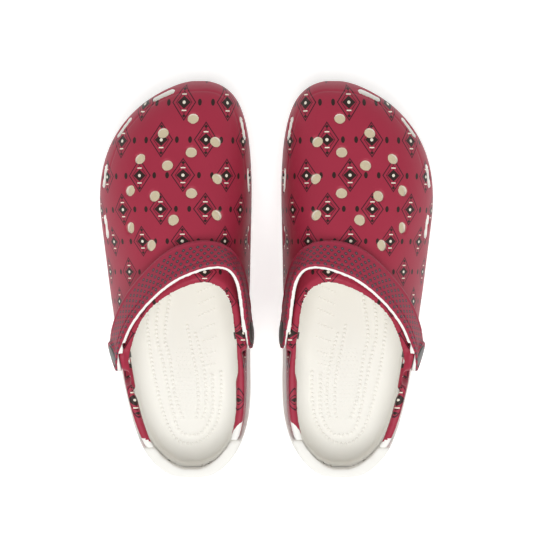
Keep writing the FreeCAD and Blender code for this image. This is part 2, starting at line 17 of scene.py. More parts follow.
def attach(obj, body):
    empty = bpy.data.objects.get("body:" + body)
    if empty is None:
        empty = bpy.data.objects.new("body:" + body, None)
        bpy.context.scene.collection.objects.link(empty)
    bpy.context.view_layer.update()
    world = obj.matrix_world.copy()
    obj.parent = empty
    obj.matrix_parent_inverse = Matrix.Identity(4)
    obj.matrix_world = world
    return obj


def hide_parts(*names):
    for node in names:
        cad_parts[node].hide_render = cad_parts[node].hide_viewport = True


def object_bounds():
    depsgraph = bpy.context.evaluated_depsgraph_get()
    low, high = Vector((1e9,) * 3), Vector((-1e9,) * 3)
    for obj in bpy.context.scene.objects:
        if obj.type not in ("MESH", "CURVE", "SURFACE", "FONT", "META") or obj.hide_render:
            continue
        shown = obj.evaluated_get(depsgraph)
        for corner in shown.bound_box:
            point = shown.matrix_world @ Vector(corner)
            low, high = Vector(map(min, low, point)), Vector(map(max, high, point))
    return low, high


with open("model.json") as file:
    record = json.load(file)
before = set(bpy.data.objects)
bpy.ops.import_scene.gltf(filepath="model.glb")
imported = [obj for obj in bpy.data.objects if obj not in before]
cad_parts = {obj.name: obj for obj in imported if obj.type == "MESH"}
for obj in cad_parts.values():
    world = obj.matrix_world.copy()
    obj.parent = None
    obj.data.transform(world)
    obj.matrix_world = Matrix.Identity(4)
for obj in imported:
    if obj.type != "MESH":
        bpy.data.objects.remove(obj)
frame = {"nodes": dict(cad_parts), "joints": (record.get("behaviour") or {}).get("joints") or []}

CAD_BOX = [list(corner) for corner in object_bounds()]

bl_info = {
    "name": "Garden Clogs",
    "version": (1, 0, 0),
    "blender": (4, 5, 0),
    "location": "3D View > Sidebar > Clogs",
    "description": "Moulded foam garden clogs with printed uppers and swinging heel straps",
    "category": "Object",
}

MM = 0.001
ROOT = "clogs"
HINGE = next(j for j in frame["joints"] if j["name"] == "left_strap_hinge")
AXIS_MIDDLE = np.array(HINGE["pos_m"])
AXIS_ALONG = np.array(HINGE["axis"]) / np.linalg.norm(HINGE["axis"])
AXIS_FORWARD = np.array([-AXIS_ALONG[1], AXIS_ALONG[0], 0.0])
STRAP_RISE = math.radians(34.0)
STRAP_OUT = AXIS_FORWARD * math.cos(STRAP_RISE) + np.array([0, 0, math.sin(STRAP_RISE)])
STRAP_UP = -AXIS_FORWARD * math.sin(STRAP_RISE) + np.array([0, 0, math.cos(STRAP_RISE)])
LOBE_FACE = 0.050
LOBE_TILT = {-1: math.radians(17.0), 1: math.radians(12.0)}
WALL = 4.6 * MM
MIDDLE_X = -0.058

# Vents: centre and the way the hole looks. Slots: centre and run in plan. Left clog, millimetres.
VENTS = (((-52.4, 115, 60.2), (-.004, .397, .918)), ((-73.9, 104.5, 62.6), (-.187, .373, .909)),
         ((-35.9, 98, 63.9), (.341, .29, .894)), ((-53.4, 90.5, 69.5), (.018, .34, .94)),
         ((-90.4, 86, 64.5), (-.411, .3, .861)), ((-70.4, 81, 72), (-.131, .323, .937)),
         ((-34.4, 71.5, 71.5), (.452, .262, .853)), ((-97.4, 63, 66), (-.592, .096, .8)),
         ((-52.9, 61, 79.7), (.031, .324, .946)), ((-79.4, 59, 76.3), (-.332, .204, .921)),
         ((-65.9, 42, 84.4), (-.237, .237, .942)), ((-34.4, 45.5, 79.8), (.525, .269, .808)),
         ((-97.4, 36.5, 66.6), (-.706, -.046, .707)), ((-81.9, 24, 79.4), (-.574, .033, .818)))
VENT_RADIUS = 3.9
SLOTS = (((-75.9, 136.1, 41), (.889, .458)), ((-105.5, 111.6, 39), (.607, .795)),
         ((-120.8, 74.9, 38), (.147, .989)), ((-120.6, 37.4, 37), (-.114, .993)),
         ((-14.5, 109.4, 39), (-.192, .981)), ((-11, 71.3, 38), (-.018, 1)), ((-11.3, 30.2, 37), (.023, 1)))
SLOT_HALF = (8.25, 3.2)
# Emission of the vent walls: painted light, so that the holes read bright inside the shaded toe
VENT_PAINTED_LIGHT = 0.16
# Emission of the footbed's forefoot: painted light lifting the shade under the vamp
FOREFOOT_PAINTED_LIGHT = 0.42


# ------------------------------------------------------------------ what a user would change
class ClogSizes(bpy.types.PropertyGroup):
    voxel: FloatProperty(name="Moulding detail", description="Cell size the foam pieces are moulded at",
                         default=0.95 * MM, min=0.4 * MM, max=4 * MM, unit="LENGTH")
    edge_softness: IntProperty(name="Edge softness", description="How far moulded edges are rounded",
                               default=6, min=0, max=20)
    collar_swell: FloatProperty(name="Collar lip",
                                description="How far the collar swells inward at the ankle",
                                default=2.1 * MM, min=0.0, max=4 * MM, unit="LENGTH")
    strap_voxel: FloatProperty(name="Strap detail", description="Cell size the straps are moulded at",
                               default=0.7 * MM, min=0.4 * MM, max=4 * MM, unit="LENGTH")
    nub_height: FloatProperty(name="Nub height", description="How far the footbed's massage nubs stand up",
                              default=0.7 * MM, min=0.0, max=3 * MM, unit="LENGTH")
    nub_radius: FloatProperty(name="Nub radius", description="Radius of one massage nub",
                              default=1.15 * MM, min=0.5 * MM, max=4 * MM, unit="LENGTH")
    bead_height: FloatProperty(name="Strap bead", description="Raised line along the strap's front edge",
                               default=0.55 * MM, min=0.0, max=2 * MM, unit="LENGTH")


class ClogColours(bpy.types.PropertyGroup):
    crimson: StringProperty(name="Crimson", description="Ground colour of the print, sRGB", default="A93148")
    ink: StringProperty(name="Dark ink", description="Dark brown of the print, sRGB", default="33211F")
    line: StringProperty(name="Line ink", description="Fine outlines of the print, sRGB", default="4A1C28")
    cream: StringProperty(name="Cream ink", description="Light accents of the print, sRGB", default="F2EAD8")
    foam: StringProperty(name="White foam", description="Bare foam, sRGB", default="F8F7F2")
    dots: StringProperty(name="Strap dots", description="Dots on the straps, sRGB", default="4B3A40")
    rivet: StringProperty(name="Rivets", description="Rivet heads, sRGB", default="54534F")
    liner: StringProperty(name="Forefoot", description="Front of the footbed, sRGB", default="D6CCB6")


def sizes():
    return bpy.context.scene.clog_sizes


def colours():
    return bpy.context.scene.clog_colours


def linear(hex_colour):
    """sRGB hex to the linear colour that shaders take."""
    parts = [int(hex_colour[i:i + 2], 16) / 255 for i in (0, 2, 4)]
    return tuple(p / 12.92 if p <= 0.04045 else ((p + 0.055) / 1.055) ** 2.4 for p in parts) + (1.0,)


# ------------------------------------------------------------------ materials
def add(tree, kind, inputs=None, **settings):
    """Adds one node, sets it up and joins its inputs."""
    made = tree.nodes.new(kind)
    for key, value in settings.items():
        setattr(made, key, value)
    for key, value in (inputs or {}).items():
        if isinstance(value, bpy.types.NodeSocket):
            tree.links.new(value, made.inputs[key])
        else:
            made.inputs[key].default_value = value
    return made


def new_material(name, shader):
    """An empty material with its shader, which takes the settings that are the same all over."""
    material = bpy.data.materials.new(name)
    material.use_nodes = True
    tree = material.node_tree
    tree.nodes.clear()
    surface = add(tree, "ShaderNodeBsdfPrincipled", shader)
    add(tree, "ShaderNodeOutputMaterial", {"Surface": surface.outputs[0]})
    return material, tree, surface


def foam_grain(tree, surface, grain_mm, depth_mm, strength):
    """The fine closed-cell grain that a moulded foam skin shows.

    Real cells are about 0.3 mm wide; they are drawn at about 1 mm, because finer ones wouldn't show.
    """
    spot = add(tree, "ShaderNodeTexCoord").outputs["Object"]
    grain = add(tree, "ShaderNodeTexNoise", {"Vector": spot, "Scale": 1 / (grain_mm * MM), "Detail": 3.0,
                                             "Roughness": 0.6})
    bump = add(tree, "ShaderNodeBump", {"Height": grain.outputs[0], "Strength": strength,
                                        "Distance": depth_mm * MM})
    tree.links.new(bump.outputs[0], surface.inputs["Normal"])
    return spot


def mottled(tree, spot, colour, other, patch_mm):
    """A colour that drifts slightly from patch to patch."""
    patch = add(tree, "ShaderNodeTexNoise", {"Vector": spot, "Scale": 1 / (patch_mm * MM), "Detail": 2.0})
    return add(tree, "ShaderNodeMix", {"Factor": patch.outputs[0], "A": colour, "B": other},
               data_type="RGBA").outputs["Result"]


# How a print is laid out, in millimetres: each entry is a name, what is done, and what it is done to.
# The uppers: rows every 25 mm, every second one shifted by half of the 32 mm repeat.
UPPER_PRINT = (
    ("across", "MULTIPLY", "u", 1000.0), ("along", "MULTIPLY", "v", 1000.0),
    ("raised", "ADD", "along", 31.3), ("rows", "DIVIDE", "raised", 25.0), ("row", "FLOOR", "rows"),
    ("shift", "MULTIPLY", "row", 16.0), ("shifted", "ADD", "across", "shift"),
    ("centred", "ADD", "shifted", 27.0), ("x_signed", "WRAP", "centred", 16.0, -16.0),
    ("x", "ABSOLUTE", "x_signed"), ("lifted", "ADD", "along", 18.8),
    ("y_signed", "WRAP", "lifted", 12.5, -12.5), ("y", "ABSOLUTE", "y_signed"),
    # two outlined diamonds
    ("outer_x", "DIVIDE", "x", 8.2), ("outer_y", "DIVIDE", "y", 11.8),
    ("outer", "ADD", "outer_x", "outer_y"), ("outer_line", "COMPARE", "outer", 1.0, 0.055),
    ("inner_x", "DIVIDE", "x", 5.6), ("inner_y", "DIVIDE", "y", 7.6),
    ("inner", "ADD", "inner_x", "inner_y"), ("inner_line", "COMPARE", "inner", 1.0, 0.05),
    ("lines", "MAXIMUM", "outer_line", "inner_line"),
    # a solid boss in the middle, a dot each side and small tips above and below
    ("boss_x", "DIVIDE", "x", 4.9), ("boss_y", "DIVIDE", "y", 4.4),
    ("boss_edge", "ADD", "boss_x", "boss_y"), ("boss", "LESS_THAN", "boss_edge", 1.0),
    ("aside", "SUBTRACT", "x", 11.3), ("side_x", "DIVIDE", "aside", 1.35), ("side_y", "DIVIDE", "y", 2.3),
    ("side_xx", "MULTIPLY", "side_x", "side_x"), ("side_yy", "MULTIPLY", "side_y", "side_y"),
    ("side_edge", "ADD", "side_xx", "side_yy"), ("side", "LESS_THAN", "side_edge", 1.0),
    ("tip_off", "SUBTRACT", "y", 9.0), ("tip_y", "ABSOLUTE", "tip_off"),
    ("tip_edge", "ADD", "x", "tip_y"), ("tips", "LESS_THAN", "tip_edge", 1.35),
    ("boss_side", "MAXIMUM", "boss", "side"), ("solids", "MAXIMUM", "boss_side", "tips"),
    # a light core and two bars
    ("core_xx", "MULTIPLY", "x", "x"), ("core_yy", "MULTIPLY", "y", "y"),
    ("core_edge", "ADD", "core_xx", "core_yy"), ("core", "LESS_THAN", "core_edge", 1.3),
    ("bar_y", "COMPARE", "y", 5.4, 0.42), ("bar_x", "LESS_THAN", "x", 1.7),
    ("bars", "MULTIPLY", "bar_x", "bar_y"), ("lights", "MAXIMUM", "core", "bars"),
)
# The straps: staggered rows 2.9 mm apart with a dot every 4.8 mm, a diamond ring round a paler middle.
STRAP_PRINT = (
    ("along", "MULTIPLY", "u", 1000.0), ("across", "MULTIPLY", "v", 1000.0),
    ("raised", "ADD", "across", 6.3), ("rows", "DIVIDE", "raised", 2.9), ("row", "FLOOR", "rows"),
    ("shift", "MULTIPLY", "row", 2.4), ("shifted", "ADD", "along", "shift"),
    ("x_signed", "WRAP", "shifted", 2.4, -2.4), ("x", "ABSOLUTE", "x_signed"),
    ("lifted", "ADD", "across", 4.85), ("y_signed", "WRAP", "lifted", 1.45, -1.45),
    ("y", "ABSOLUTE", "y_signed"),
    ("lean", "MULTIPLY", "x", 0.8), ("girth", "ADD", "lean", "y"),
    ("small", "LESS_THAN", "girth", 1.3), ("narrow", "LESS_THAN", "x", 1.25),
    ("dot", "MULTIPLY", "small", "narrow"),
    ("middle", "LESS_THAN", "girth", 0.5), ("field", "COMPARE", "across", 2.0, 8.4),
    ("dots", "MULTIPLY", "dot", "field"), ("middles", "MULTIPLY", "middle", "field"),
)


def printed(tree, ground, layout, inks):
    """The ground with each ink laid over it where the layout's shape of that name is."""
    wrap = add(tree, "ShaderNodeUVMap", uv_map="wrap").outputs[0]
    split = add(tree, "ShaderNodeSeparateXYZ", {0: wrap})
    shapes = {"u": split.outputs[0], "v": split.outputs[1]}
    for name, operation, *sources in layout:
        inputs = {i: shapes.get(source, source) for i, source in enumerate(sources)}
        shapes[name] = add(tree, "ShaderNodeMath", inputs, operation=operation).outputs[0]
    colour = ground
    for name, ink in inks:
        colour = add(tree, "ShaderNodeMix", {"Factor": shapes[name], "A": colour, "B": linear(ink)},
                     data_type="RGBA").outputs["Result"]
    return colour


def film_over_foam(tree, film):
    """The printed film where the skin's own mask has it, and bare foam elsewhere."""
    mask = add(tree, "ShaderNodeAttribute", attribute_name="film").outputs["Fac"]
    sharp = add(tree, "ShaderNodeMapRange", {"Value": mask, "From Min": 0.42, "From Max": 0.58}).outputs[0]
    return add(tree, "ShaderNodeMix", {"Factor": sharp, "A": linear(colours().foam), "B": film},
               data_type="RGBA").outputs["Result"]


def paint_light_glow(tree, surface, colour, strength):
    """Colours the surface and makes it glow in that colour, painted light that brightens it where the clog's
    own shade falls.
    """
    for socket in ("Base Color", "Emission Color"):
        tree.links.new(colour, surface.inputs[socket])
    tree.links.new(strength, surface.inputs["Emission Strength"])


def printed_foam():
    """EVA foam with a printed film moulded on: satin film outside, bare closed-cell foam inside."""
    material, tree, surface = new_material("printed EVA foam", {"Roughness": 0.48, "IOR": 1.45,
                                                                "Specular IOR Level": 0.28})
    spot = foam_grain(tree, surface, 0.9, 0.05, 0.3)
    c = colours()
    ground = mottled(tree, spot, linear(c.crimson), linear("A02B41"), 30.0)
    film = printed(tree, ground, UPPER_PRINT, (("lines", c.line), ("solids", c.ink), ("lights", c.cream)))
    skin = film_over_foam(tree, film)
    # the cut walls of the vents: cream, glowing with painted light so that they read bright inside the
    # shaded toe
    cut = add(tree, "ShaderNodeAttribute", attribute_name="vent").outputs["Fac"]
    walls = add(tree, "ShaderNodeMix", {"Factor": cut, "A": skin, "B": linear(c.liner)}, data_type="RGBA")
    painted_glow = add(tree, "ShaderNodeMath", {0: cut, 1: VENT_PAINTED_LIGHT}, operation="MULTIPLY")
    paint_light_glow(tree, surface, walls.outputs["Result"], painted_glow.outputs[0])
    return material


def white_foam(name, roughness, grain_mm, strength):
    """Bare injection-moulded EVA: off-white, matt, with a fine closed-cell grain."""
    material, tree, surface = new_material(name, {"Roughness": roughness, "IOR": 1.45,
                                                  "Specular IOR Level": 0.3})
    spot = foam_grain(tree, surface, grain_mm, 0.05, strength)
    tone = mottled(tree, spot, linear(colours().foam), linear("F3F1EA"), 40.0)
    tree.links.new(tone, surface.inputs["Base Color"])
    return material


def footbed_foam():
    """Moulded footbed EVA: matt white where the foot is seen, a cream forefoot under the vamp that glows
    with painted light to lift the vamp's shade.
    """
    material, tree, surface = new_material("footbed EVA foam", {"Roughness": 0.6, "IOR": 1.45,
                                                                "Specular IOR Level": 0.3})
    spot = foam_grain(tree, surface, 0.8, 0.06, 0.4)
    tone = mottled(tree, spot, linear(colours().foam), linear("F3F1EA"), 40.0)
    front = add(tree, "ShaderNodeAttribute", attribute_name="forefoot").outputs["Fac"]
    mixed = add(tree, "ShaderNodeMix", {"Factor": front, "A": tone, "B": linear(colours().liner)},
                data_type="RGBA")
    # painted light: the forefoot glows so that the vamp's shade over it is lifted
    painted_glow = add(tree, "ShaderNodeMapRange", {"Value": front, "To Min": 0.0, "To Max": FOREFOOT_PAINTED_LIGHT})
    paint_light_glow(tree, surface, mixed.outputs["Result"], painted_glow.outputs[0])
    return material


def strap_foam():
    """The strap's printed film: satin crimson with a grid of small grey dots, bare foam inside."""
    material, tree, surface = new_material("printed strap foam", {"Roughness": 0.48, "IOR": 1.45,
                                                                  "Specular IOR Level": 0.28})
    spot = foam_grain(tree, surface, 0.9, 0.05, 0.35)
    ground = mottled(tree, spot, linear("A23148"), linear("982C42"), 30.0)
    film = printed(tree, ground, STRAP_PRINT, (("dots", colours().dots), ("middles", "75606A")))
    tree.links.new(film_over_foam(tree, film), surface.inputs["Base Color"])
    return material


def acetal(name, roughness, tone, other):
    """Injection-moulded acetal: a hard, slightly satin plastic with a very fine spark-eroded grain."""
    material, tree, surface = new_material(name, {"Roughness": roughness, "IOR": 1.48})
    spot = foam_grain(tree, surface, 0.6, 0.03, 0.25)
    tree.links.new(mottled(tree, spot, linear(tone), linear(other), 5.0), surface.inputs["Base Color"])
    return material


# ------------------------------------------------------------------ moulding helpers
def link(name, mesh):
    piece = bpy.data.objects.new(name, mesh)
    bpy.context.scene.collection.objects.link(piece)
    return piece


def evaluated(piece):
    graph = bpy.context.evaluated_depsgraph_get()
    return bpy.data.meshes.new_from_object(piece.evaluated_get(graph))


def moulded(name, node, voxel, passes, blocks=()):
    """A CAD solid recast as one soft skin: merged, remeshed to even cells and smoothed.

    Each block is a matrix that turns a unit cube into some more foam, taken up by the same skin.
    """
    cast = bmesh.new()
    cast.from_mesh(frame["nodes"][node].data)
    bmesh.ops.remove_doubles(cast, verts=cast.verts, dist=1e-6)
    bmesh.ops.recalc_face_normals(cast, faces=cast.faces)
    for block in blocks:
        bmesh.ops.create_cube(cast, size=1.0, matrix=block)
    mesh = bpy.data.meshes.new(name)
    cast.to_mesh(mesh)
    cast.free()
    piece = link(name + "_cast", mesh)
    remesh = piece.modifiers.new("Cells", "REMESH")
    remesh.mode = "VOXEL"
    remesh.voxel_size = voxel * 1.0
    smooth = piece.modifiers.new("Soft", "SMOOTH")
    smooth.factor = 0.5
    smooth.iterations = passes
    result = evaluated(piece)
    bpy.data.objects.remove(piece)
    result.name = name
    result.polygons.foreach_set("use_smooth", np.ones(len(result.polygons), bool))
    return result


def positions(mesh):
    flat = np.empty(len(mesh.vertices) * 3)
    mesh.vertices.foreach_get("co", flat)
    return flat.reshape(-1, 3)


def normals(mesh):
    flat = np.empty(len(mesh.vertices) * 3)
    mesh.vertex_normals.foreach_get("vector", flat)
    return flat.reshape(-1, 3)


def place(mesh, points):
    mesh.vertices.foreach_set("co", points.ravel())
    mesh.update()


def store(mesh, name, values):
    attribute = mesh.attributes.new(name, "FLOAT", "POINT")
    attribute.data.foreach_set("value", np.ascontiguousarray(values, dtype=np.float32))


def store_uv(mesh, across, along):
    corners = np.empty(len(mesh.loops), np.int32)
    mesh.loops.foreach_get("vertex_index", corners)
    layer = mesh.uv_layers.new(name="wrap")
    layer.uv.foreach_set("vector", np.stack([across[corners], along[corners]], 1).ravel())


def ease(values, low, high):
    t = np.clip((values - low) / (high - low), 0, 1)
    return t * t * (3 - 2 * t)


def depth_under(points, outer):
    """Distance from each point to the nearest point of the outer face."""
    chosen = np.flatnonzero(outer)
    tree = KDTree(len(chosen))
    for i in chosen:
        tree.insert(points[i], int(i))
    tree.balance()
    depth = np.zeros(len(points))
    for i in np.flatnonzero(~outer):
        depth[i] = tree.find(points[i])[2]
    return depth


def finish_pair(name, mesh, node, body, material):
    """The left piece and its mirror image on the right, riding and replacing their own nodes."""
    for side in ("left", "right"):
        data = mesh if side == "left" else mesh.copy()
        if side == "right":
            data.transform(Matrix.Scale(-1, 4, (1, 0, 0)))
            data.flip_normals()
            data.update()
        data.materials.clear()
        data.materials.append(material)
        piece = link(side + "_" + name, data)
        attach(piece, body.replace("left", side))
        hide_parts(side + "_" + node)


# ------------------------------------------------------------------ upper
def from_middle_line(points):
    """Level direction out to each point from the clog's middle line."""
    middle = np.stack([np.full(len(points), MIDDLE_X), np.clip(points[:, 1], -0.09, 0.08)], 1)
    aside = points[:, :2] - middle
    return aside / np.linalg.norm(aside, axis=1)[:, None]


def cavity_direction(points):
    """From the middle of the foot's space out to each point; drawn in at the heel and the toe."""
    x = np.interp(points[:, 1], [-0.10, 0.0, 0.06, 0.10], [-0.058, -0.062, -0.066, -0.060])
    middle = np.stack([x, np.clip(points[:, 1], -0.095, 0.085), np.full(len(points), 0.018)], 1)
    away = points - middle
    return away / np.linalg.norm(away, axis=1)[:, None]


def crown_line(points):
    """Height and X of the top of the vamp along the clog, from the moulded skin itself."""
    stations = np.arange(-0.010, 0.142, 0.004)
    tops, ridges = [], []
    for y in stations:
        band = points[np.abs(points[:, 1] - y) < 0.002]
        high = band[np.argsort(band[:, 2])[-12:]] if len(band) > 12 else band
        tops.append(high[:, 2].mean())
        ridges.append(high[:, 0].mean())
    smooth = np.ones(5) / 5
    pad = lambda a: np.convolve(np.pad(a, 2, mode="edge"), smooth, "valid")
    return stations, pad(np.array(tops)), pad(np.array(ridges))


def wrap_coordinates(points):
    """Print coordinates in metres: across, round the section from its crown; along, down the clog."""
    stations, tops, ridges = crown_line(points)
    top = np.interp(points[:, 1], stations, tops)
    ridge = np.interp(points[:, 1], stations, ridges)
    aside = points[:, 0] - ridge
    down = np.minimum(points[:, 2] - top, 0) * ease(np.abs(aside), 0, 0.02)
    across = ridge + np.sign(aside) * np.hypot(aside, down)
    y = points[:, 1] / MM
    return across, (1.2 * y - 0.0013 * y * y * np.sign(y)) * MM


def neighbour_mean(mesh, values, passes):
    """Values evened out over the skin, so that a painted boundary runs clean."""
    pairs = np.empty(len(mesh.edges) * 2, np.int32)
    mesh.edges.foreach_get("vertices", pairs)
    a, b = pairs[0::2], pairs[1::2]
    count = np.bincount(pairs, minlength=len(values)) + 1.0
    for _ in range(passes):
        total = values + np.bincount(a, values[b], len(values)) + np.bincount(b, values[a], len(values))
        values = total / count
    return values


def vent_walls(points):
    """1 on the walls of the vents."""
    cut = np.zeros(len(points))
    for centre, looks in VENTS:
        away = points / MM - centre
        deep = away @ looks
        reach = np.linalg.norm(away - np.outer(deep, looks), axis=1)
        cut = np.maximum(cut, (np.abs(deep) < 9) * (1 - ease(reach, VENT_RADIUS - 0.4, VENT_RADIUS + 0.15)))
    return cut


def slot_walls(points):
    """1 on the walls of the drain slots."""
    cut = np.zeros(len(points))
    for centre, run in SLOTS:
        away = points / MM - centre
        step, level = away[:, 0] * run[0] + away[:, 1] * run[1], away[:, 2]
        beside = np.abs(away[:, 0] * run[1] - away[:, 1] * run[0])
        straight = SLOT_HALF[0] - SLOT_HALF[1]
        reach = np.hypot(np.maximum(np.abs(step) - straight, 0), level)
        cut = np.maximum(cut, (beside < 10) * (1 - ease(reach, SLOT_HALF[1] + 0.1, SLOT_HALF[1] + 0.7)))
    return cut


def rivet_pockets(points):
    """1 in the pockets outside the bosses, where the printed film runs on round the rivets."""
    away = points - AXIS_MIDDLE
    along = away @ AXIS_ALONG
    reach = np.linalg.norm(away - np.outer(along, AXIS_ALONG), axis=1)
    return (reach < 24 * MM) * ease(np.abs(along), 41.2 * MM, 42.2 * MM)


def collar_backing(side):
    """Foam behind the pocket that the strap's arm swings through, so that the collar stays whole."""
    frame_matrix = Matrix((AXIS_ALONG, AXIS_FORWARD, (0, 0, 1))).transposed().to_4x4()
    middle = Vector((side * 39.5 * MM, -13.0 * MM, -11.3 * MM))
    return (Matrix.Translation(Vector(AXIS_MIDDLE)) @ frame_matrix @ Matrix.Translation(middle)
            @ Matrix.Diagonal((2.3 * MM, 24 * MM, 20 * MM, 1)))


def film_mask(mesh, points, facing, outside, skin):
    """1 where the printed film covers the upper: outside, in the rivet pockets and over the collar."""
    top = ease(facing[:, 2], 0.15, 0.45) * (points[:, 2] > 0.0565)
    lip = ease(points[:, 2], 0.0572, 0.0586) * ease(facing[:, 2], -0.5, -0.2)
    collar = np.maximum(top, lip) * (points[:, 1] < -0.02)
    film = np.maximum.reduce([ease(outside, -0.05, 0.25), rivet_pockets(points), collar])
    # the film runs out to a point over the collar's end, where the heel's white lip takes over
    climb = neighbour_mean(mesh, ease(points[:, 2], 0.044, 0.061) + skin, 4)
    medial = points[:, 0] > MIDDLE_X
    start, run = np.where(medial, 0.086, 0.1065), np.where(medial, 0.036, 0.0155)
    runout = 1 - ease(climb - 2.2 * (-points[:, 1] - start) / run, -0.06, 0.06)
    return film * (1 - runout * ease(points[:, 2], 0.0570, 0.0584))


class CLOG_OT_upper(bpy.types.Operator):
    """Mould the two uppers and wrap the print round them"""
    bl_idname = "clog.upper"
    bl_label = "Uppers"

    def execute(self, context):
        mesh = moulded("upper", "left_upper", sizes().voxel * 1.15, sizes().edge_softness,
                       [collar_backing(side) for side in (-1, 1)])
        points = positions(mesh)
        facing = normals(mesh)
        outside = neighbour_mean(mesh, (facing * cavity_direction(points)).sum(1), 3)
        skin = np.clip(depth_under(points, outside > 0.45) / WALL, 0, 1)
        vents = vent_walls(points)
        film = film_mask(mesh, points, facing, outside, skin)
        store(mesh, "film", film * (1 - vents) * (1 - slot_walls(points)))
        store(mesh, "vent", vents)
        store_uv(mesh, *wrap_coordinates(points))
        # the collar swells inward to a soft lip beside the ankle, and less behind the strap's lobes
        swell = skin * ease(points[:, 2], 0.044, 0.056) * ease(-points[:, 1], 0.015, 0.045)
        swell *= 1 - ease(-points[:, 1], 0.105, 0.122)
        behind = (points - AXIS_MIDDLE) @ AXIS_FORWARD / MM
        swell *= 1 - ease(behind, -34, -24) * (1 - ease(behind, -2, 8))
        points[:, :2] -= from_middle_line(points) * (swell * sizes().collar_swell)[:, None]
        # a shallow moulded line round the toe, over the slots
        line = np.exp(-((points[:, 2] / MM - 46.5) / 0.75) ** 2) * ease(points[:, 1], 0.055, 0.085)
        points -= facing * (line * ease(outside, 0.3, 0.6) * 0.4 * MM)[:, None]
        place(mesh, points)
        finish_pair("printed_upper", mesh, "upper", ROOT, printed_foam())
        return {"FINISHED"}


# ------------------------------------------------------------------ sole
class CLOG_OT_sole(bpy.types.Operator):
    """Mould the white sole units and their treads"""
    bl_idname = "clog.sole"
    bl_label = "Soles"

    def execute(self, context):
        unit = moulded("sole_unit", "left_midsole", sizes().voxel * 1.2, sizes().edge_softness)
        # the ledge under the upper narrows round the toe
        points = positions(unit)
        facing = normals(unit)
        outside = ease((facing * cavity_direction(points)).sum(1), 0.2, 0.5)
        narrow = outside * ease(points[:, 1], -0.02, 0.05) * ease(points[:, 2], 0.006, 0.014)
        level = facing[:, :2] / np.maximum(np.linalg.norm(facing[:, :2], axis=1), 0.3)[:, None]
        points[:, :2] -= level * (narrow * 1.5 * MM)[:, None]
        place(unit, points)
        foam = white_foam("moulded EVA foam", 0.55, 0.9, 0.3)
        finish_pair("sole_unit", unit, "midsole", ROOT, foam)
        tread = moulded("tread", "left_outsole", sizes().voxel, 2)
        foam = white_foam("moulded EVA tread", 0.62, 1.2, 0.5)
        finish_pair("tread", tread, "outsole", ROOT, foam)
        return {"FINISHED"}


# ------------------------------------------------------------------ footbed
# Rows of massage nubs, heel to toe order as laid out in the mould: plan points in millimetres.
NUB_ROWS = (
    ((-84, -12), (-87, -30), (-85.5, -48), (-82, -70), (-76, -95), (-70, -111), (-63.8, -118.2),
     (-55.5, -120.3), (-47.8, -118.2), (-40.5, -112), (-35.5, -102), (-33.2, -86), (-33.2, -68)),
    ((-77, -10), (-80, -28), (-79.9, -43.5), (-75.7, -60.3), (-72.2, -77.7), (-69, -93), (-65.5, -107),
     (-61, -112.5), (-54.1, -114), (-47.1, -111.9), (-41.5, -103.5), (-39.1, -93), (-39.4, -70)),
    ((-70, -10), (-73, -28), (-74, -44), (-70.8, -56.8), (-68.7, -72), (-66, -88), (-61, -102)),
    ((-58, -34), (-54.8, -50.5), (-50.6, -72), (-49.9, -93), (-52, -104)),
    ((-52, -40), (-47.1, -58.2), (-44.6, -73.6), (-44.3, -93), (-47, -103)),
)
# Short dotted ribs across the arch: both ends, millimetres.
ARCH_RIBS = (((-50, -10), (-38, -4)), ((-49.5, -18.5), (-37.5, -12.9)), ((-49, -27), (-37, -21.6)),
             ((-47.5, -36.6), (-36.5, -32)), ((-46, -45.5), (-36, -42)), ((-44.5, -55), (-35.5, -52.5)),
             ((-42.5, -63), (-36, -61.5)))
NUB_PITCH = 3.1
RIB_PITCH = 2.4
# The field of fine nubs in the middle: its heel corner, its pitch, and how many across and along.
FINE_CORNER, FINE_PITCH, FINE_COUNT = (-66, -102), 3.0, (9, 18)
# Half profile of a nub: share of its radius and of its height.
NUB_PROFILE = ((1.1, -0.35), (1.0, 0.1), (0.82, 0.62), (0.45, 0.94), (0.0, 1.0))
NUB_SIDES = 10


def rounded_run(points, pitch):
    """Evenly spaced points on a smooth curve through a few given ones."""
    points = np.array(points, float)
    fine = []
    for i in range(len(points) - 1):
        before, a, b = points[max(i - 1, 0)], points[i], points[i + 1]
        after = points[min(i + 2, len(points) - 1)]
        for t in np.linspace(0, 1, 20, endpoint=False):
            fine.append(0.5 * (2 * a + (b - before) * t + (2 * before - 5 * a + 4 * b - after) * t * t
                               + (3 * a - before - 3 * b + after) * t ** 3))
    fine = np.array(fine + [points[-1]])
    walked = np.concatenate([[0], np.cumsum(np.linalg.norm(np.diff(fine, axis=0), axis=1))])
    goals = np.arange(0, walked[-1], pitch)
    return np.stack([np.interp(goals, walked, fine[:, k]) for k in (0, 1)], 1)


def nub_centres():
    """(x, y, radius, height) of every nub, in millimetres."""
    radius, height = sizes().nub_radius / MM, sizes().nub_height / MM
    nubs = []
    for row in NUB_ROWS:
        nubs += [(x, y, radius, height) for x, y in rounded_run(row, NUB_PITCH)]
    for rib in ARCH_RIBS:
        nubs += [(x, y, radius * 0.7, height * 0.6) for x, y in rounded_run(rib, RIB_PITCH)]
    for i in range(FINE_COUNT[0]):
        for j in range(FINE_COUNT[1]):
            x, y = FINE_CORNER[0] + FINE_PITCH * (i + 0.5 * (j % 2)), FINE_CORNER[1] + FINE_PITCH * j
            nubs.append((x, y, radius * 0.5, height * 0.4))
    return nubs


def spun(profile, steps):
    """A half profile of radius and height turned once round Z into a closed or open skin."""
    shape = bmesh.new()
    rim = [shape.verts.new((radius, 0, height)) for radius, height in profile]
    edges = [shape.edges.new(pair) for pair in zip(rim, rim[1:])]
    bmesh.ops.spin(shape, geom=rim + edges, cent=(0, 0, 0), axis=(0, 0, 1), angle=2 * math.pi, steps=steps,
                   use_merge=True)
    bmesh.ops.remove_doubles(shape, verts=shape.verts, dist=1e-6)
    bmesh.ops.recalc_face_normals(shape, faces=shape.faces)
    return shape


